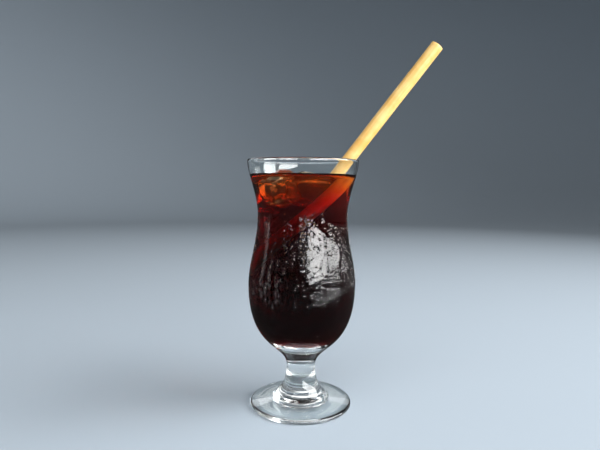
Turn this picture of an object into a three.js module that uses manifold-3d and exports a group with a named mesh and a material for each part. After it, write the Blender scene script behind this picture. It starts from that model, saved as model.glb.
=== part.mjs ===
// Iced coffee in a waisted glass on a short stem, with two ice cubes and a hollow cane straw.
// Millimetres, +Z up, origin at the middle of the foot's flat underside; the straw leans towards +X.
import * as THREE from 'three';
import { mergeVertices } from 'three/addons/utils/BufferGeometryUtils.js';
import Module from 'manifold-3d';

// Glass: outer radii, and the heights above the table at which they are reached
const GLASS_HEIGHT = 178;
const RIM_RADIUS = 39.5;
const RIM_BEAD = 1.1;
const WAIST_RADIUS = 32;
const WAIST_Z = 138.5;
const BULB_RADIUS = 38.55;
const BULB_Z = 88.5;
const STEM_RADIUS = 10.3;
const STEM_Z = 27.5;
const SHOULDER_RADIUS = 20.3;
const SHOULDER_ROUND = 1.6;
const SHOULDER_Z = 6.2;
const FOOT_RADIUS = 36.75;
const FOOT_ROUND = 1.3;
const FOOT_SLOPE_TOP_Z = 4.4;

// How far the outline runs on upright below and above each station before it turns to the next one
const STEM_BELOW = 9;
const STEM_ABOVE = 18.5;
const BULB_BELOW = 48;
const BULB_ABOVE = 17;
const WAIST_BELOW = 20.5;
const WAIST_ABOVE = 14.5;
const RIM_BELOW = 9.5;

// The trumpet-shaped base of the stem leaves the shoulder inwards by this much and rises by this much
const FLARE_INWARD = 4.6;
const FLARE_RISE = 1.8;

// Bowl inside: the wall at the rim, waist and bulb, and the floor above the solid stem
const WALL = 2.2;
const BULB_WALL = 2.5;
const BOWL_FLOOR_Z = 48;
const FLOOR_FLATNESS = 0.82;
const FLOOR_BULB_BELOW = 30;

// Drink: its level, and the clearance kept round everything that stands in it
const COFFEE_LEVEL_Z = 166.5;
const CLEARANCE = 0.3;

// Straw: a square-cut tube that rests on the rim and slants down to the far side of the bowl
const STRAW_RADIUS = 4.45;
const STRAW_BORE = 3.35;
const STRAW_LENGTH = 202.5;
const STRAW_LEAN = THREE.MathUtils.degToRad(37.2);
const STRAW_HEADING = THREE.MathUtils.degToRad(-6);
const STRAW_AT_RIM = new THREE.Vector3(31.95, 0.3, GLASS_HEIGHT);
const STRAW_ABOVE_RIM = 98.5;

// Ice: tray cubes, narrower at the bottom, with edges rounded by melting
const ICE_SQUARENESS = 4.2;
const ICE_TAPER = 0.1;
const ICE_DIMPLE = 0.035;
const ICE_CUBES = [
  { name: 'ice_front', size: [22, 21, 24], at: [-14, -10, 157.6], turn: [22, -24, 32] },
  { name: 'ice_back', size: [21, 20, 24], at: [4, 16.4, 157.8], turn: [12, 14, 12] },
];

// Fineness of the faceted surfaces
const TURN_SIDES = 48;
const CURVE_STEPS = 7;
const FLOOR_STEPS = 9;
const ROUND_STEPS = 6;
const STRAW_SIDES = 24;
const ICE_SIDES = 6;
const QUARTER_TURN = Math.PI / 2;

const wasm = await Module();
wasm.setup();

const point = (radius, z) => new THREE.Vector2(radius, z);

// Joins curves end to end into one outline, each split into its own number of steps.
function outline(...pieces) {
  const points = [];
  for (const [curve, steps] of pieces) {
    const sampled = curve.getPoints(steps);
    points.push(...(points.length ? sampled.slice(1) : sampled));
  }
  return points;
}

function straight(from, to) {
  return [new THREE.LineCurve(from, to), 1];
}

// A curve from one station up to the next: upright at both ends, for a reach above one and below the other.
function swell(from, above, to, below) {
  const handleFrom = point(from.x, from.y + above);
  const handleTo = point(to.x, to.y - below);
  return [new THREE.CubicBezierCurve(from, handleFrom, handleTo, to), CURVE_STEPS];
}

function rounding(centre, radius, startAngle, endAngle) {
  const arc = new THREE.EllipseCurve(centre.x, centre.y, radius, radius, startAngle, endAngle);
  return [arc, ROUND_STEPS];
}

// Turns an outline of radius against height about the upright axis.
function turned(points, sides) {
  const geometry = new THREE.LatheGeometry(points, sides);
  geometry.rotateX(QUARTER_TURN);
  return geometry;
}

function toSolid(geometry) {
  const bare = geometry.clone();
  bare.deleteAttribute('normal');
  bare.deleteAttribute('uv');
  const merged = mergeVertices(bare);
  const vertProperties = new Float32Array(merged.attributes.position.array);
  const triVerts = new Uint32Array(merged.index.array);
  return new wasm.Manifold(new wasm.Mesh({ numProp: 3, vertProperties, triVerts }));
}

function toGeometry(solid) {
  const mesh = solid.getMesh();
  const geometry = new THREE.BufferGeometry();
  geometry.setAttribute('position', new THREE.BufferAttribute(mesh.vertProperties, 3));
  geometry.setIndex(new THREE.BufferAttribute(mesh.triVerts, 1));
  geometry.computeVertexNormals();
  return geometry;
}

function piece(name, geometry, colour, roughness) {
  const material = new THREE.MeshStandardMaterial({ color: colour, roughness, metalness: 0 });
  const mesh = new THREE.Mesh(geometry, material);
  mesh.name = name;
  return mesh;
}

// Inside of the bowl from the middle of its floor up to the lip, set in by a clearance.
function bowlInside(inset) {
  const floor = point(0, BOWL_FLOOR_Z + inset);
  const bulb = point(BULB_RADIUS - BULB_WALL - inset, BULB_Z);
  const waist = point(WAIST_RADIUS - WALL - inset, WAIST_Z);
  const lip = point(RIM_RADIUS - 2 * RIM_BEAD - inset, GLASS_HEIGHT - RIM_BEAD);
  const floorHandle = point(FLOOR_FLATNESS * bulb.x, floor.y);
  const bulbHandle = point(bulb.x, bulb.y - FLOOR_BULB_BELOW);
  return [
    [new THREE.CubicBezierCurve(floor, floorHandle, bulbHandle, bulb), FLOOR_STEPS],
    swell(bulb, BULB_ABOVE, waist, WAIST_BELOW),
    swell(waist, WAIST_ABOVE, lip, RIM_BELOW),
  ];
}

function glassOutline() {
  const footEdge = point(FOOT_RADIUS - FOOT_ROUND, FOOT_ROUND);
  const footTop = point(footEdge.x, 2 * FOOT_ROUND);
  const shoulderFoot = point(SHOULDER_RADIUS, FOOT_SLOPE_TOP_Z);
  const shoulder = point(SHOULDER_RADIUS - SHOULDER_ROUND, SHOULDER_Z);
  const shoulderSide = point(SHOULDER_RADIUS, SHOULDER_Z);
  const flare = point(shoulder.x, SHOULDER_Z + SHOULDER_ROUND);
  const stem = point(STEM_RADIUS, STEM_Z);
  const bulb = point(BULB_RADIUS, BULB_Z);
  const waist = point(WAIST_RADIUS, WAIST_Z);
  const lip = point(RIM_RADIUS, GLASS_HEIGHT - RIM_BEAD);
  const bead = point(RIM_RADIUS - RIM_BEAD, lip.y);
  const flareHandle = point(flare.x - FLARE_INWARD, flare.y + FLARE_RISE);
  const stemHandle = point(stem.x, stem.y - STEM_BELOW);
  const inside = bowlInside(0).reverse();
  const downInside = inside.map(([curve, steps]) => {
    const { v0, v1, v2, v3 } = curve;
    return [new THREE.CubicBezierCurve(v3, v2, v1, v0), steps];
  });
  return outline(
    straight(point(0, 0), point(footEdge.x, 0)),
    rounding(footEdge, FOOT_ROUND, -QUARTER_TURN, QUARTER_TURN),
    straight(footTop, shoulderFoot),
    straight(shoulderFoot, shoulderSide),
    rounding(shoulder, SHOULDER_ROUND, 0, QUARTER_TURN),
    [new THREE.CubicBezierCurve(flare, flareHandle, stemHandle, stem), CURVE_STEPS],
    swell(stem, STEM_ABOVE, bulb, BULB_BELOW),
    swell(bulb, BULB_ABOVE, waist, WAIST_BELOW),
    swell(waist, WAIST_ABOVE, lip, RIM_BELOW),
    rounding(bead, RIM_BEAD, 0, Math.PI),
    ...downInside,
  );
}

// Straw frame: its foot in the drink and the direction of its bore.
const strawDirection = new THREE.Vector3(
  Math.sin(STRAW_LEAN) * Math.cos(STRAW_HEADING),
  Math.sin(STRAW_LEAN) * Math.sin(STRAW_HEADING),
  Math.cos(STRAW_LEAN),
);
const strawFoot = STRAW_AT_RIM.clone().addScaledVector(strawDirection, STRAW_ABOVE_RIM - STRAW_LENGTH);
const strawTurn = new THREE.Quaternion().setFromUnitVectors(new THREE.Vector3(0, 0, 1), strawDirection);

function placedOnStraw(geometry) {
  geometry.applyQuaternion(strawTurn);
  geometry.translate(strawFoot.x, strawFoot.y, strawFoot.z);
  return geometry;
}

function strawTube() {
  const section = [
    point(STRAW_BORE, 0),
    point(STRAW_RADIUS, 0),
    point(STRAW_RADIUS, STRAW_LENGTH),
    point(STRAW_BORE, STRAW_LENGTH),
    point(STRAW_BORE, 0),
  ];
  return placedOnStraw(turned(section, STRAW_SIDES));
}

// The room that the straw takes in the drink: its outside with clearance, below its foot as well.
function strawRoom() {
  const radius = STRAW_RADIUS + CLEARANCE;
  const section = [
    point(0, -CLEARANCE),
    point(radius, -CLEARANCE),
    point(radius, STRAW_LENGTH),
    point(0, STRAW_LENGTH),
  ];
  return placedOnStraw(turned(section, STRAW_SIDES));
}

// An ice cube: a box pulled onto a rounded block, narrowed downwards and dimpled by melting.
function iceCube(cube, margin) {
  const geometry = new THREE.BoxGeometry(2, 2, 2, ICE_SIDES, ICE_SIDES, ICE_SIDES);
  const half = cube.size.map((side) => side / 2 + margin);
  const places = geometry.attributes.position;
  const at = new THREE.Vector3();
  for (let i = 0; i < places.count; i += 1) {
    at.fromBufferAttribute(places, i);
    const powers = at.toArray().map((part) => Math.abs(part) ** ICE_SQUARENESS);
    at.divideScalar((powers[0] + powers[1] + powers[2]) ** (1 / ICE_SQUARENESS));
    const waves = Math.sin(3 * at.x + 1) * Math.sin(2.6 * at.y + 2) + Math.sin(3.4 * at.z - at.x);
    at.multiplyScalar(1 + ICE_DIMPLE * (waves - 1));
    const narrowing = 1 + ICE_TAPER * (at.z - 1) / 2;
    places.setXYZ(i, at.x * half[0] * narrowing, at.y * half[1] * narrowing, at.z * half[2]);
  }
  const angles = cube.turn.map(THREE.MathUtils.degToRad);
  geometry.applyMatrix4(new THREE.Matrix4().makeRotationFromEuler(new THREE.Euler(...angles)));
  geometry.translate(...cube.at);
  geometry.computeVertexNormals();
  return geometry;
}

// The drink fills the bowl to its level and is cut out round the straw and the ice.
function coffeeBody() {
  const inside = outline(...bowlInside(CLEARANCE));
  const sunk = inside.filter((at) => at.y < COFFEE_LEVEL_Z);
  const above = inside[sunk.length];
  const last = sunk[sunk.length - 1];
  const share = (COFFEE_LEVEL_Z - last.y) / (above.y - last.y);
  const edge = last.clone().lerp(above, share);
  const filled = [...sunk, edge, point(0, COFFEE_LEVEL_Z)];
  let body = toSolid(turned(filled, TURN_SIDES));
  body = body.subtract(toSolid(strawRoom()));
  for (const cube of ICE_CUBES) {
    body = body.subtract(toSolid(iceCube(cube, CLEARANCE)));
  }
  return toGeometry(body);
}

const icedCoffee = new THREE.Group();
icedCoffee.name = 'iced_coffee';
icedCoffee.add(piece('glass', turned(glassOutline(), TURN_SIDES), 0xdde6ea, 0.03));
icedCoffee.add(piece('coffee', coffeeBody(), 0x2a0e07, 0.05));
icedCoffee.add(piece('straw', strawTube(), 0xf3d68a, 0.5));
for (const cube of ICE_CUBES) {
  icedCoffee.add(piece(cube.name, iceCube(cube, 0), 0xe6edf0, 0.1));
}

export default icedCoffee;
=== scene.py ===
import math
import random

import bmesh
import bpy
import numpy as np
from mathutils import Matrix, Vector, noise
from mathutils.geometry import interpolate_bezier


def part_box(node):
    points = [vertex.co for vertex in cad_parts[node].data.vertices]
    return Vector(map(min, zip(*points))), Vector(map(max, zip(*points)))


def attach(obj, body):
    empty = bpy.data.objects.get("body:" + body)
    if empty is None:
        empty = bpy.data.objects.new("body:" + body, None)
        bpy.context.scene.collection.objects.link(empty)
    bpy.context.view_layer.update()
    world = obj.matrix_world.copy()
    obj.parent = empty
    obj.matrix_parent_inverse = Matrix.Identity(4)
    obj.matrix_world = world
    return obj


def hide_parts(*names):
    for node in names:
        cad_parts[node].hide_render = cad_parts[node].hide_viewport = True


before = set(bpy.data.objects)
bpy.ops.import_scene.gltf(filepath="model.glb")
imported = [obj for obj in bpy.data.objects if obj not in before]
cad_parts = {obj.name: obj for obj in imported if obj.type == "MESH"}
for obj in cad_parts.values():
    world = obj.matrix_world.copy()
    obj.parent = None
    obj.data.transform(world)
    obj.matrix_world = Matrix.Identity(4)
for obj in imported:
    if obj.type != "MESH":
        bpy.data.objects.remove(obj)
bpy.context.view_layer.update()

# The glass is one piece of clear soda-lime glass, pressed in a mould and fire polished: a foot that is
# slightly hollow underneath, a solid stem that flares down to a shoulder, a bulb, a waist and a flared
# rim with a rounded bead. Everything else stands in it or lies on it. Sizes are in millimetres.
MM = 0.001
weld_gap = 1e-4
glass_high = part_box("glass")[1]
glass_height = glass_high.z / MM
rim_radius = glass_high.x / MM
rim_bead = 1.1
waist_radius, waist_z = 32.0, 138.5
bulb_radius, bulb_z = 38.55, 88.5
stem_radius, stem_z = 10.3, 27.5
shoulder_radius, shoulder_round, shoulder_z = 20.3, 1.6, 6.2
fillet, fillet_rise = 0.7, 0.6
foot_radius, foot_round, foot_slope_top = 36.75, 1.3, 4.4
foot_hollow, foot_hollow_radius = 2.2, 31.5
flare_inward, flare_rise = 4.6, 1.8
wall, bulb_wall = 2.2, 2.5
bowl_floor_z = 48.0
floor_flatness = 0.82
turn_steps = 192
curve_steps = 30
round_steps = 8
hollow_rings = 16

# Lengths of the curve handles below and above each narrow or wide place.
stem_reach = (9.0, 18.5)
bulb_reach = (48.0, 17.0)
waist_reach = (20.5, 14.5)
rim_reach = 9.5
floor_reach = 30.0


def curve(*knots):
    """Outline along a curve of (radius, height) knots: its start, two handles and its end."""
    return [(p.x, p.y) for p in interpolate_bezier(*[Vector((*knot, 0)) for knot in knots], curve_steps)]


def swell(start, above, end, below):
    """Outline that leaves one (radius, height) point upright and reaches the next one upright."""
    return curve(start, (start[0], start[1] + above), (end[0], end[1] - below), end)


def rounding(centre, radius, first, last):
    """Outline of an arc between two angles in degrees."""
    angles = np.radians(np.linspace(first, last, round_steps))
    return [(centre[0] + radius * math.cos(a), centre[1] + radius * math.sin(a)) for a in angles]


def radius_at(height, outline):
    """Radius at a height of an outline that is an array of (radius, height) rows."""
    return float(np.interp(height, outline[:, 1], outline[:, 0]))


def bowl_inside(grown):
    """Inside of the bowl from the middle of its floor up to the lip, grown into the wall by some mm."""
    floor = (0.0, bowl_floor_z - grown)
    bulb = (bulb_radius - bulb_wall + grown, bulb_z)
    waist = (waist_radius - wall + grown, waist_z)
    lip = (rim_radius - 2 * rim_bead + grown, glass_height - rim_bead)
    dish = curve(floor, (floor_flatness * bulb[0], floor[1]), (bulb[0], bulb[1] - floor_reach), bulb)
    rise = swell(bulb, bulb_reach[1], waist, waist_reach[0])
    flare = swell(waist, waist_reach[1], lip, rim_reach)
    return dish + rise[1:] + flare[1:]


def turned(outline, steps):
    """A body in mm from an outline of (radius, height) points, spun round the upright axis."""
    body = bmesh.new()
    points = [body.verts.new((radius, 0.0, height)) for radius, height in outline]
    lines = [body.edges.new(pair) for pair in zip(points, points[1:])]
    bmesh.ops.spin(body, geom=points + lines, cent=(0, 0, 0), axis=(0, 0, 1), angle=math.tau,
                   steps=steps, use_merge=True)
    bmesh.ops.remove_doubles(body, verts=body.verts, dist=weld_gap)
    bmesh.ops.recalc_face_normals(body, faces=body.faces)
    return body


def placed(name, mesh, materials):
    """A smooth shaded object at the origin from a mesh in metres."""
    for material in materials:
        mesh.materials.append(material)
    mesh.shade_smooth()
    piece = bpy.data.objects.new(name, mesh)
    bpy.context.scene.collection.objects.link(piece)
    return piece


def as_piece(name, body, materials):
    """Brings a body from mm to metres and makes it an object."""
    bmesh.ops.scale(body, vec=(MM, MM, MM), verts=body.verts)
    mesh = bpy.data.meshes.new(name)
    body.to_mesh(mesh)
    body.free()
    return placed(name, mesh, materials)


def linear(hex_value):
    """Linear RGBA of an sRGB hex value."""
    shares = [int(hex_value[i:i + 2], 16) / 255 for i in (1, 3, 5)]
    return [s / 12.92 if s <= 0.04045 else ((s + 0.055) / 1.055) ** 2.4 for s in shares] + [1.0]


def new_material(name):
    """A material without nodes yet."""
    material = bpy.data.materials.new(name)
    material.use_nodes = True
    material.node_tree.nodes.clear()
    return material


def add_node(material, kind, inputs, **settings):
    """Adds a node; an input is a value for its socket or the output that is linked to it."""
    new = material.node_tree.nodes.new(kind)
    for name, value in settings.items():
        setattr(new, name, value)
    for socket, value in inputs.items():
        if isinstance(value, bpy.types.NodeSocket):
            material.node_tree.links.new(value, new.inputs[socket])
        else:
            new.inputs[socket].default_value = value
    return new


foot_edge = (foot_radius - foot_round, foot_round)
fillet_middle = (shoulder_radius + fillet, foot_slope_top + fillet_rise)
shoulder = (shoulder_radius - shoulder_round, shoulder_z)
flare_top = (shoulder[0], shoulder_z + shoulder_round)
trumpet = curve(flare_top, (flare_top[0] - flare_inward, flare_top[1] + flare_rise),
                (stem_radius, stem_z - stem_reach[0]), (stem_radius, stem_z))
hollow_shares = np.linspace(0, 1, hollow_rings)
foot_outline = (
    [(foot_hollow_radius * share, foot_hollow * (1 - share ** 2)) for share in hollow_shares]
    + rounding(foot_edge, foot_round, -90, 90)
    + rounding(fillet_middle, fillet, -100, -180)
    + rounding(shoulder, shoulder_round, 0, 90)
    + trumpet[1:]
)
rim_foot = (rim_radius, glass_height - rim_bead)
bowl_outside = (
    swell((stem_radius, stem_z), stem_reach[1], (bulb_radius, bulb_z), bulb_reach[0])
    + swell((bulb_radius, bulb_z), bulb_reach[1], (waist_radius, waist_z), waist_reach[0])[1:]
    + swell((waist_radius, waist_z), waist_reach[1], rim_foot, rim_reach)[1:]
)
rim_outline = rounding((rim_radius - rim_bead, glass_height - rim_bead), rim_bead, 0, 180)

# The drink wets the wall up to a little above its level, and the inside has a ring of points there.
drink_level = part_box("coffee")[1].z / MM
climb, climb_width = 1.5, 2.4
edge_height = drink_level + climb
inner_outline = bowl_inside(0.0)
inner_outline.append((radius_at(edge_height, np.array(inner_outline)), edge_height))
inner_outline.sort(key=lambda point: point[1], reverse=True)
glass_body = turned(foot_outline + bowl_outside[1:] + rim_outline[1:] + inner_outline[1:], turn_steps)

# Clear pressed glass: colourless, with the faint slow waviness that a mould leaves in reflections.
glass_tint = "#FBFEFD"
glass_ior = 1.52
mould_wave, mould_depth, mould_strength = 14.0, 0.4, 0.12


def mould_ripple(material, place):
    """Adds the mould's waviness to a glass material as a bump."""
    waves = add_node(material, "ShaderNodeTexNoise", {
        "Vector": place.outputs["Object"], "Scale": 1 / (mould_wave * MM), "Detail": 1.0})
    return add_node(material, "ShaderNodeBump", {
        "Height": waves.outputs["Fac"], "Strength": mould_strength, "Distance": mould_depth * MM})


clear_glass = new_material("clear_pressed_glass")
place = add_node(clear_glass, "ShaderNodeTexCoord", {})
ripple = mould_ripple(clear_glass, place)
shader = add_node(clear_glass, "ShaderNodeBsdfPrincipled", {
    "Base Color": linear(glass_tint), "Transmission Weight": 1.0, "IOR": glass_ior, "Roughness": 0.0,
    "Normal": ripple.outputs["Normal"]})
add_node(clear_glass, "ShaderNodeOutputMaterial", {"Surface": shader.outputs["BSDF"]})

# Misted glass: the outside of the cold bowl. A breath of moisture dulls the shine in uneven patches that
# are drawn out downwards, and fine beads, drawn as coarse as they need to show, break up reflections.
# They crowd together on the bulb's shoulder, front right.
mist_patch, mist_drawn_out = 9.0, 0.35
dull_from, dull_to, dullest = 0.42, 0.72, 0.06
bead_spacing, bead_rise = 2.3, 0.26
dome_top, dome_edge = 0.05, 0.45
bead_middle, bead_reach, bead_fade = (16.0, -33.5, 108.0), 19.0, 40.0
fewer_beads, more_beads = -0.12, 0.27
beaded_from, beaded_to = 0.5, 0.62
misted_glass = new_material("misted_pressed_glass")
place = add_node(misted_glass, "ShaderNodeTexCoord", {})
drawn = add_node(misted_glass, "ShaderNodeMapping", {
    "Vector": place.outputs["Object"], "Scale": (1.0, 1.0, mist_drawn_out)})
patches = add_node(misted_glass, "ShaderNodeTexNoise", {
    "Vector": drawn.outputs["Vector"], "Scale": 1 / (mist_patch * MM), "Detail": 5.0})
dullness = add_node(misted_glass, "ShaderNodeMapRange", {
    "Value": patches.outputs["Fac"], "From Min": dull_from, "From Max": dull_to,
    "To Min": 0.0, "To Max": dullest})
cells = add_node(misted_glass, "ShaderNodeTexVoronoi", {
    "Vector": place.outputs["Object"], "Scale": 1 / (bead_spacing * MM)})
domes = add_node(misted_glass, "ShaderNodeMapRange", {
    "Value": cells.outputs["Distance"], "From Min": dome_top, "From Max": dome_edge,
    "To Min": 1.0, "To Max": 0.0})
from_middle = add_node(misted_glass, "ShaderNodeVectorMath", {
    0: place.outputs["Object"], 1: [share * MM for share in bead_middle]}, operation="DISTANCE")
nearness = add_node(misted_glass, "ShaderNodeMapRange", {
    "Value": from_middle.outputs["Value"], "From Min": bead_fade * MM, "From Max": bead_reach * MM,
    "To Min": fewer_beads, "To Max": more_beads})
bead_patches = add_node(misted_glass, "ShaderNodeMath", {
    0: patches.outputs["Fac"], 1: nearness.outputs["Result"]}, operation="ADD")
beaded = add_node(misted_glass, "ShaderNodeMapRange", {
    "Value": bead_patches.outputs["Value"], "From Min": beaded_from, "From Max": beaded_to,
    "To Min": 0.0, "To Max": 1.0})
bead_height = add_node(misted_glass, "ShaderNodeMath", {
    0: domes.outputs["Result"], 1: beaded.outputs["Result"]}, operation="MULTIPLY")
ripple = mould_ripple(misted_glass, place)
beads = add_node(misted_glass, "ShaderNodeBump", {
    "Height": bead_height.outputs["Value"], "Strength": 1.0, "Distance": bead_rise * MM,
    "Normal": ripple.outputs["Normal"]})
shader = add_node(misted_glass, "ShaderNodeBsdfPrincipled", {
    "Base Color": linear(glass_tint), "Transmission Weight": 1.0, "IOR": glass_ior,
    "Roughness": dullness.outputs["Result"], "Normal": beads.outputs["Normal"]})
add_node(misted_glass, "ShaderNodeOutputMaterial", {"Surface": shader.outputs["BSDF"]})

# Wetted glass: the inside of the bowl below the drink's edge. It neither mirrors nor bends light, because
# the drink lies on it without a gap and the step from glass to drink is on the drink's own face.
wetted_glass = new_material("wetted_pressed_glass")
shader = add_node(wetted_glass, "ShaderNodeBsdfPrincipled", {
    "Base Color": linear("#FFFFFF"), "Transmission Weight": 1.0, "IOR": 1.0, "Roughness": 0.0})
add_node(wetted_glass, "ShaderNodeOutputMaterial", {"Surface": shader.outputs["BSDF"]})

mist_low, mist_high = 52.0, 168.0
below_floor = 1.0
finishes = [clear_glass, misted_glass, wetted_glass]
for face in glass_body.faces:
    middle = face.calc_center_median()
    outwards = face.normal.x * middle.x + face.normal.y * middle.y > 0
    if outwards and mist_low < middle.z < mist_high:
        face.material_index = finishes.index(misted_glass)
    elif not outwards and bowl_floor_z - below_floor < middle.z < edge_height:
        face.material_index = finishes.index(wetted_glass)
glass_piece = as_piece("pressed_glass", glass_body, finishes)
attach(glass_piece, "root")
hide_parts("glass")

# The straw is a length of dried cane, cut square at both ends and hollow, that rests on the rim and
# slants down through the drink to the far wall. It is as uneven as a stalk is.
straw_radius, straw_bore = 4.45, 3.35
straw_length, straw_above_rim = 202.5, 98.5
straw_lean, straw_heading = math.radians(37.2), math.radians(-6.0)
straw_at_rim = Vector((31.95, 0.3, glass_height))
straw_rings, straw_sides = 120, 48
cut_round = 0.22
same_place = 0.001
bend_depth, bend_length, other_bend = 0.12, 40, Vector((7.0, 0.0, 0.0))
knob_share, knob_width, knob_length = 0.012, 6, 28
straw_line = Vector((math.sin(straw_lean) * math.cos(straw_heading),
                     math.sin(straw_lean) * math.sin(straw_heading), math.cos(straw_lean)))
straw_foot = straw_at_rim + straw_line * (straw_above_rim - straw_length)
straw_turn = Vector((0, 0, 1)).rotation_difference(straw_line).to_matrix().to_4x4()
straw_place = Matrix.Translation(straw_foot) @ straw_turn


def runs_round(edge):
    """Whether an edge runs round the straw, at one height and one radius."""
    start, end = [vert.co for vert in edge.verts]
    level = abs(start.z - end.z) < same_place
    return level and abs(start.to_2d().length - end.to_2d().length) < same_place


def runs_along(edge):
    """Whether an edge runs from one cut to the other."""
    return abs(edge.verts[0].co.z - edge.verts[1].co.z) > straw_length / 2


straw_body = bmesh.new()
section = [(straw_bore, 0.0), (straw_radius, 0.0), (straw_radius, straw_length), (straw_bore, straw_length)]
corners = [straw_body.verts.new((radius, 0.0, height)) for radius, height in section]
sides = [straw_body.edges.new(pair) for pair in zip(corners, corners[1:] + corners[:1])]
bmesh.ops.spin(straw_body, geom=corners + sides, cent=(0, 0, 0), axis=(0, 0, 1), angle=math.tau,
               steps=straw_sides, use_merge=True)
bmesh.ops.remove_doubles(straw_body, verts=straw_body.verts, dist=weld_gap)
cut_edges = [edge for edge in straw_body.edges if runs_round(edge)]
bmesh.ops.bevel(straw_body, geom=cut_edges, offset=cut_round, affect="EDGES", segments=2, profile=0.5,
                material=-1)
long_edges = [edge for edge in straw_body.edges if runs_along(edge)]
bmesh.ops.subdivide_edges(straw_body, edges=long_edges, cuts=straw_rings, use_grid_fill=True)
bmesh.ops.recalc_face_normals(straw_body, faces=straw_body.faces)
cane_place = straw_body.verts.layers.float_vector.new("cane_place")
for vert in straw_body.verts:
    along = Vector((0.0, 0.0, vert.co.z / bend_length))
    knobbly = noise.noise(Vector((vert.co.x / knob_width, vert.co.y / knob_width, vert.co.z / knob_length)))
    vert[cane_place] = vert.co * MM
    vert.co.x += bend_depth * noise.noise(along)
    vert.co.y += bend_depth * noise.noise(along + other_bend)
    vert.co.x *= 1 + knob_share * knobbly
    vert.co.y *= 1 + knob_share * knobbly
bmesh.ops.transform(straw_body, matrix=straw_place, verts=straw_body.verts)

# Dried cane: pale yellow and satin, with fine lengthwise fibres and slow warm mottling. Its pattern
# follows the stalk by the place that each point had before the straw was bent and leant.
fibre_width, fibre_length, fibre_depth = 0.5, 22.0, 0.12
mottle_size = 9.0
fibre_tones = ((0.3, "#E1B76D"), (0.66, "#E9C785"))
mottle_tones = ((0.35, "#EFDDB6"), (0.7, "#FFFFFF"))
dried_cane = new_material("dried_cane")
place = add_node(dried_cane, "ShaderNodeAttribute", {}, attribute_name="cane_place")
stretched = add_node(dried_cane, "ShaderNodeMapping", {
    "Vector": place.outputs["Vector"], "Scale": (1.0, 1.0, fibre_width / fibre_length)})
fibres = add_node(dried_cane, "ShaderNodeTexNoise", {
    "Vector": stretched.outputs["Vector"], "Scale": 1 / (fibre_width * MM), "Detail": 4.0})
mottle = add_node(dried_cane, "ShaderNodeTexNoise", {
    "Vector": place.outputs["Vector"], "Scale": 1 / (mottle_size * MM), "Detail": 3.0})
fibre_ramp = add_node(dried_cane, "ShaderNodeValToRGB", {"Fac": fibres.outputs["Fac"]})
mottle_ramp = add_node(dried_cane, "ShaderNodeValToRGB", {"Fac": mottle.outputs["Fac"]})
for ramp, tones in ((fibre_ramp, fibre_tones), (mottle_ramp, mottle_tones)):
    for stop, (position, tone) in zip(ramp.color_ramp.elements, tones):
        stop.position = position
        stop.color = linear(tone)
cane_tone = add_node(dried_cane, "ShaderNodeMix", {
    "Factor": 1.0, 6: fibre_ramp.outputs["Color"], 7: mottle_ramp.outputs["Color"]},
    data_type="RGBA", blend_type="MULTIPLY")
grain = add_node(dried_cane, "ShaderNodeBump", {
    "Height": fibres.outputs["Fac"], "Strength": 0.35, "Distance": fibre_depth * MM})
shader = add_node(dried_cane, "ShaderNodeBsdfPrincipled", {
    "Base Color": cane_tone.outputs[2], "Roughness": 0.42, "IOR": 1.5, "Normal": grain.outputs["Normal"]})
add_node(dried_cane, "ShaderNodeOutputMaterial", {"Surface": shader.outputs["BSDF"]})

straw_piece = as_piece("cane_straw", straw_body, [dried_cane])
straw_piece.data.set_sharp_from_angle(angle=math.radians(50))
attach(straw_piece, "root")
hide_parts("straw")

# The ice cubes come from a tray and float at the surface, their edges rounded and their faces dimpled by
# melting. Clear ice bends light almost as the drink does, so below the surface it shows as an amber patch.
melt_depth, melt_size = 0.35, 7.0
cube_weld = 0.01
cube_cuts, cube_smoothings = 3, 4
facing_angle, corner_angle = math.radians(40), math.radians(60)
ice_overlap = 0.15


def melted_cube(node_name, shrink):
    """A finer copy of a cube's solid in mm, with melt dimples, drawn in by some mm."""
    cube = bmesh.new()
    cube.from_mesh(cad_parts[node_name].data)
    bmesh.ops.scale(cube, vec=(1 / MM, 1 / MM, 1 / MM), verts=cube.verts)
    bmesh.ops.remove_doubles(cube, verts=cube.verts, dist=cube_weld)
    bmesh.ops.join_triangles(cube, faces=cube.faces, angle_face_threshold=facing_angle,
                             angle_shape_threshold=corner_angle)
    bmesh.ops.subdivide_edges(cube, edges=cube.edges, cuts=cube_cuts, smooth=1.0, use_grid_fill=True)
    for _ in range(cube_smoothings):
        bmesh.ops.smooth_vert(cube, verts=cube.verts, factor=0.5, use_axis_x=True, use_axis_y=True,
                              use_axis_z=True)
    bmesh.ops.recalc_face_normals(cube, faces=cube.faces)
    cube.normal_update()
    moves = [v.normal * (melt_depth * noise.noise(v.co / melt_size) - shrink) for v in cube.verts]
    for vert, move in zip(cube.verts, moves):
        vert.co += move
    return cube


# Clear wet ice: colourless, with small facets under a film of melt water.
facet_size, facet_depth = 2.5, 0.3
clear_ice = new_material("clear_wet_ice")
place = add_node(clear_ice, "ShaderNodeTexCoord", {})
facets = add_node(clear_ice, "ShaderNodeTexNoise", {
    "Vector": place.outputs["Object"], "Scale": 1 / (facet_size * MM), "Detail": 2.0})
ripple = add_node(clear_ice, "ShaderNodeBump", {
    "Height": facets.outputs["Fac"], "Strength": 0.2, "Distance": facet_depth * MM})
shader = add_node(clear_ice, "ShaderNodeBsdfPrincipled", {
    "Base Color": linear("#FCFEFF"), "Transmission Weight": 1.0, "IOR": 1.31, "Roughness": 0.02,
    "Normal": ripple.outputs["Normal"]})
add_node(clear_ice, "ShaderNodeOutputMaterial", {"Surface": shader.outputs["BSDF"]})

ice_cutters = []
for node_name in ("ice_front", "ice_back"):
    ice_piece = as_piece("melting_" + node_name, melted_cube(node_name, 0.0), [clear_ice])
    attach(ice_piece, "root")
    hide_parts(node_name)
    ice_cutters.append(as_piece("room_for_" + node_name, melted_cube(node_name, ice_overlap), []))

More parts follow.
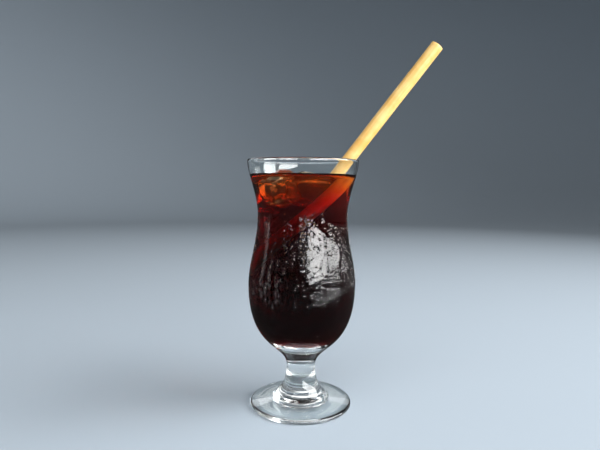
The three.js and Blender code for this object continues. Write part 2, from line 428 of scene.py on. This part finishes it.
# The drink is black coffee that fills the bowl and wets the wall, the straw and the ice. Its surface
# climbs in a small collar at the wall and the straw, and room is cut out for the ice. Its body reaches
# just into the wall, so no air shows between them.
into_wall = 0.2
below_edge = 0.3
at_surface = 0.01
surface_rings = 60
straw_climb = 0.6 * climb
inside = np.array(bowl_inside(into_wall))
edge_radius = radius_at(edge_height, inside)
wetted = [point for point in inside if point[1] < edge_height - below_edge]
surface = [(edge_radius * (1 - ring / surface_rings), edge_height) for ring in range(surface_rings + 1)]
coffee_body = turned(wetted + surface, turn_steps)
straw_at_level = straw_foot + straw_line * ((drink_level - straw_foot.z) / straw_line.z)
for vert in coffee_body.verts:
    if vert.co.z < edge_height - at_surface:
        continue
    from_wall = edge_radius - vert.co.to_2d().length
    from_axis = vert.co - Vector((0, 0, climb)) - straw_at_level
    from_straw = max((from_axis - straw_line * from_axis.dot(straw_line)).length - straw_radius, 0.0)
    vert.co.z = drink_level + climb * math.exp(-from_wall / climb_width)
    vert.co.z += straw_climb * math.exp(-from_straw / climb_width)

# Black coffee: clear but strongly coloured, amber where it is thin, red-brown deeper and near black in
# the bulb, because it takes away blue first, then green, then red. It absorbs less higher up. This is partly
# melt water thinning it and partly painted light, which makes the drink and the straw in it look lit near
# the surface.
# Two sockets also keep a fixed value, for where their links aren't read.
absorbed_per_metre = (66.0, 285.0, 560.0)
strongest = max(absorbed_per_metre)
paler_from, paler_to, palest_share = 113.0, 162.0, 0.21
coffee_ior = 1.34
black_coffee = new_material("black_coffee")
light_bend = add_node(black_coffee, "ShaderNodeAttribute", {}, attribute_name="light_step")
shader = add_node(black_coffee, "ShaderNodeBsdfPrincipled", {
    "Base Color": linear("#FFFFFF"), "Transmission Weight": 1.0, "IOR": coffee_ior, "Roughness": 0.0})
black_coffee.node_tree.links.new(light_bend.outputs["Fac"], shader.inputs["IOR"])
place = add_node(black_coffee, "ShaderNodeTexCoord", {})
height = add_node(black_coffee, "ShaderNodeSeparateXYZ", {"Vector": place.outputs["Object"]})
# Painted light in part: the drink absorbs less higher up, so it and the straw in it look more lit near the
# surface.
strength = add_node(black_coffee, "ShaderNodeMapRange", {
    "Value": height.outputs["Z"], "From Min": paler_from * MM, "From Max": paler_to * MM,
    "To Min": strongest, "To Max": palest_share * strongest})
stain = add_node(black_coffee, "ShaderNodeVolumeAbsorption", {
    "Color": [1 - share / strongest for share in absorbed_per_metre] + [1.0],
    "Density": (1 + palest_share) / 2 * strongest})
black_coffee.node_tree.links.new(strength.outputs["Result"], stain.inputs["Density"])
add_node(black_coffee, "ShaderNodeOutputMaterial", {
    "Surface": shader.outputs["BSDF"], "Volume": stain.outputs["Volume"]})

coffee_piece = as_piece("coffee_drink", coffee_body, [black_coffee])
for cutter in ice_cutters:
    cut = coffee_piece.modifiers.new("cut", "BOOLEAN")
    cut.operation = "DIFFERENCE"
    cut.solver = "EXACT"
    cut.object = cutter
bpy.context.view_layer.update()
whole = coffee_piece.evaluated_get(bpy.context.evaluated_depsgraph_get())
cut_mesh = bpy.data.meshes.new_from_object(whole)
coffee_piece.modifiers.clear()
coffee_piece.data = cut_mesh
coffee_piece.data.shade_smooth()
coffee_piece.data.set_sharp_from_angle(angle=math.radians(35))
for cutter in ice_cutters:
    bpy.data.objects.remove(cutter)

# The step in bending power is from glass to coffee where the drink lies on the wall, and from air elsewhere.
on_wall_within = 0.12
light_step = coffee_piece.data.attributes.new("light_step", "FLOAT", "FACE")
for polygon in coffee_piece.data.polygons:
    centre = polygon.center / MM
    from_wall = radius_at(centre.z, inside) - centre.to_2d().length
    on_wall = from_wall < on_wall_within and centre.z < edge_height
    light_step.data[polygon.index].value = coffee_ior / glass_ior if on_wall else coffee_ior
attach(coffee_piece, "root")
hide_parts("coffee")

# Condensation has settled on the outside of the cold bowl: a mist of tiny beads, larger drops that have
# run together, and clear tracks where drops have slid down. It is thickest on the bulb's shoulder.
dew_low, dew_high = 78.0, 144.0
fade_low, fade_high = 16.0, 22.0
girth_radius = 36.0
patch_width, patch_height, patch_contrast, barest_patch = 20.0, 26.0, 1.6, 0.04
track_count, track_feet, track_widths, left_in_track = 26, (80.0, 120.0), (0.8, 2.2), 0.03
tries_per_drop = 60
mostly_small = 2.2
slope_step = 0.5
most_stretch, outline_wobble, wobble_lobes, sag = 0.5, 0.1, 3, 0.25
outside = np.array(bowl_outside)
draw = random.Random(7)
tracks = [(draw.uniform(0, math.tau), draw.uniform(*track_feet), draw.uniform(*track_widths))
          for _ in range(track_count)]

# Clean water: colourless lenses that each gather a small bright image of the light.
dew_water = new_material("condensed_water")
shader = add_node(dew_water, "ShaderNodeBsdfPrincipled", {
    "Base Color": linear("#FFFFFF"), "Transmission Weight": 1.0, "IOR": 1.33, "Roughness": 0.0})
add_node(dew_water, "ShaderNodeOutputMaterial", {"Surface": shader.outputs["BSDF"]})


def kept_within(value, lowest):
    """A value that is kept between the lowest one and 1."""
    return min(max(value, lowest), 1)


def dew_chance(angle, height):
    """How likely a bead is to sit at a place on the bowl, from 0 to 1."""
    rise = kept_within((height - dew_low) / fade_low, 0) * kept_within((dew_high - height) / fade_high, 0)
    around = girth_radius / patch_width
    spot = Vector((math.cos(angle) * around, math.sin(angle) * around, height / patch_height))
    patch = kept_within(0.5 + patch_contrast * noise.noise(spot), barest_patch)
    for track_angle, track_foot, track_width in tracks:
        across = abs((angle - track_angle + math.pi) % math.tau - math.pi) * girth_radius
        if across < track_width and height > track_foot:
            return left_in_track * rise
    return rise * patch


def scatter(count, smallest, largest, gap):
    """Seeded places of drops that don't touch: (angle, height, radius)."""
    cell = 2 * largest
    taken = {}
    drops = []
    tries = 0
    while len(drops) < count and tries < tries_per_drop * count:
        tries += 1
        angle = draw.uniform(0, math.tau)
        height = draw.uniform(dew_low, dew_high)
        if draw.random() > dew_chance(angle, height):
            continue
        size = smallest + (largest - smallest) * draw.random() ** mostly_small
        across = angle * girth_radius
        key = int(across / cell), int(height / cell)
        near = [d for i in (-1, 0, 1) for j in (-1, 0, 1) for d in taken.get((key[0] + i, key[1] + j), [])]
        if any(math.hypot(across - d[0], height - d[1]) < gap * (size + d[2]) for d in near):
            continue
        taken.setdefault(key, []).append((across, height, size))
        drops.append((angle, height, size))
    return drops


def dew_mesh(name, drops, fineness, flatness, sink):
    """One joined mesh of lens-shaped drops, each set on the bowl's outside and sunk slightly into it."""
    ball = bmesh.new()
    bmesh.ops.create_icosphere(ball, subdivisions=fineness, radius=1.0)
    ball.verts.ensure_lookup_table()
    shape = np.array([v.co for v in ball.verts])
    corners = np.array([[v.index for v in f.verts] for f in ball.faces])
    ball.free()
    points, faces = [], []
    for angle, height, size in drops:
        radius = radius_at(height, outside)
        slope = (radius_at(height + slope_step, outside) - radius) / slope_step
        out = Vector((math.cos(angle), math.sin(angle), -slope)).normalized()
        side = Vector((-math.sin(angle), math.cos(angle), 0.0))
        up = out.cross(side)
        stretch = 1 + most_stretch * draw.random() ** 2
        axes = np.array([side * size, up * size * stretch, out * size * flatness])
        centre = Vector((radius * math.cos(angle), radius * math.sin(angle), height)) - out * size * sink
        turn = wobble_lobes * np.arctan2(shape[:, 1], shape[:, 0]) + draw.uniform(0, math.tau)
        wobble = 1 + outline_wobble * np.sin(turn)
        bent = shape * np.stack([wobble, wobble, np.ones(len(shape))], axis=1)
        bent[:, 2] *= 1 - sag * bent[:, 1]
        faces.append(corners + len(shape) * len(points))
        points.append((bent @ axes + np.array(centre)) * MM)
    mesh = bpy.data.meshes.new(name)
    mesh.from_pydata(np.concatenate(points).tolist(), [], np.concatenate(faces).tolist())
    return placed(name, mesh, [dew_water])


for name, drops, fineness, flatness, sink in (
    ("mist_beads", scatter(1800, 0.2, 0.36, 1.05), 1, 0.7, 0.12),
    ("dew_drops", scatter(1300, 0.36, 0.95, 1.02), 2, 0.66, 0.12),
):
    dew_piece = dew_mesh(name, drops, fineness, flatness, sink)
    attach(dew_piece, "root")

# The floor and its rise into a wall all round are matt pale board, which is kept out of reflections. Two
# tall windows stand to the right of the camera, a weak strip on the left and a soft panel high in front,
# and two low strips behind the glass catch the edges of bowl and foot.
cove_radius, cove_round, cove_height = 2400.0, 700.0, 2200.0
floor_rings = (0.0, 400.0, 900.0)
floor_z = -0.2
cove_steps = 96
cove_bend = rounding((cove_radius - cove_round, cove_round + floor_z), cove_round, -90, 0)
cove_top = (cove_radius, cove_height + floor_z)
cove_body = turned([(ring, floor_z) for ring in floor_rings] + cove_bend + [cove_top], cove_steps)
pale_board = new_material("pale_matt_board")
shader = add_node(pale_board, "ShaderNodeBsdfPrincipled", {
    "Base Color": linear("#8C969F"), "Roughness": 0.7, "Specular IOR Level": 0.2})
add_node(pale_board, "ShaderNodeOutputMaterial", {"Surface": shader.outputs["BSDF"]})
cove_piece = as_piece("studio_cove", cove_body, [pale_board])
cove_piece.visible_glossy = False

bowl_middle = Vector((0, 0, 110 * MM))


def panel_light(name, azimuths, elevations, distance, radiance, beam, roll=0):
    """A flat light that fills a range of directions seen from the middle of the bowl. Angles are in
    degrees and the distance in metres. Azimuth 0 is towards the camera and 90 is to its right."""
    azimuth = math.radians(sum(azimuths) / 2)
    elevation = math.radians(sum(elevations) / 2)
    away = Vector((math.sin(azimuth) * math.cos(elevation), -math.cos(azimuth) * math.cos(elevation),
                   math.sin(elevation)))
    lamp = bpy.data.lights.new(name, "AREA")
    lamp.shape = "RECTANGLE"
    lamp.size = 2 * distance * math.tan(math.radians(azimuths[1] - azimuths[0]) / 2)
    lamp.size_y = 2 * distance * math.tan(math.radians(elevations[1] - elevations[0]) / 2)
    half_beam = math.radians(beam) / 2
    lamp.spread = 2 * half_beam
    lamp.energy = radiance * math.pi * lamp.size * lamp.size_y * (1 - half_beam / math.tan(half_beam))
    light = bpy.data.objects.new(name, lamp)
    light.location = bowl_middle + away * distance
    turn = away.to_track_quat("Z", "Y").to_matrix() @ Matrix.Rotation(math.radians(roll), 3, "Z")
    light.rotation_euler = turn.to_euler()
    light.visible_camera = False
    bpy.context.scene.collection.objects.link(light)


panel_light("front_window", (13, 57.5), (2.5, 22), 2.0, 16.0, 90, 10)
panel_light("side_window", (58.5, 104), (7, 55), 2.0, 17.0, 90)
panel_light("left_strip", (-97, -89), (0, 40), 2.0, 1.1, 90)
panel_light("back_strip", (122, 155), (12.5, 18), 2.0, 2.3, 90)
panel_light("high_front", (-35, 35), (42, 74), 1.9, 5.0, 120)
panel_light("back_panel", (158, 226), (20, 28), 2.0, 2.0, 90)

room_glow = 0.04
world = bpy.data.worlds.new("soft_room")
world.use_nodes = True
world.node_tree.nodes["Background"].inputs["Color"].default_value = linear("#FFFFFF")
world.node_tree.nodes["Background"].inputs["Strength"].default_value = room_glow
bpy.context.scene.world = world

# The camera stands close to the glass, level with the drink's upper part, and looks slightly down.
camera_lens, sensor_width = 29.716, 36.0
camera_place = Vector((-1.744, -355.094, 161.194))
camera_tilt, camera_roll = math.radians(85.196), math.radians(0.609)
camera_data = bpy.data.cameras.new("camera")
camera_data.lens = camera_lens
camera_data.sensor_width = sensor_width
camera_data.sensor_fit = "HORIZONTAL"
camera_data.clip_start = 0.01
camera = bpy.data.objects.new("camera", camera_data)
camera.matrix_world = (Matrix.Translation(camera_place * MM) @ Matrix.Rotation(camera_tilt, 4, "X")
                       @ Matrix.Rotation(camera_roll, 4, "Z"))
bpy.context.scene.collection.objects.link(camera)
bpy.context.scene.camera = camera

# Light crosses many faces of glass, drink, ice and drops, so its paths are long, and refraction stays
# sharp for light that comes off the straw.
light_paths = bpy.context.scene.cycles
light_paths.max_bounces = 28
light_paths.transmission_bounces = 28
light_paths.glossy_bounces = 8
light_paths.blur_glossy = 0.0
bpy.context.scene.view_settings.view_transform = "Standard"
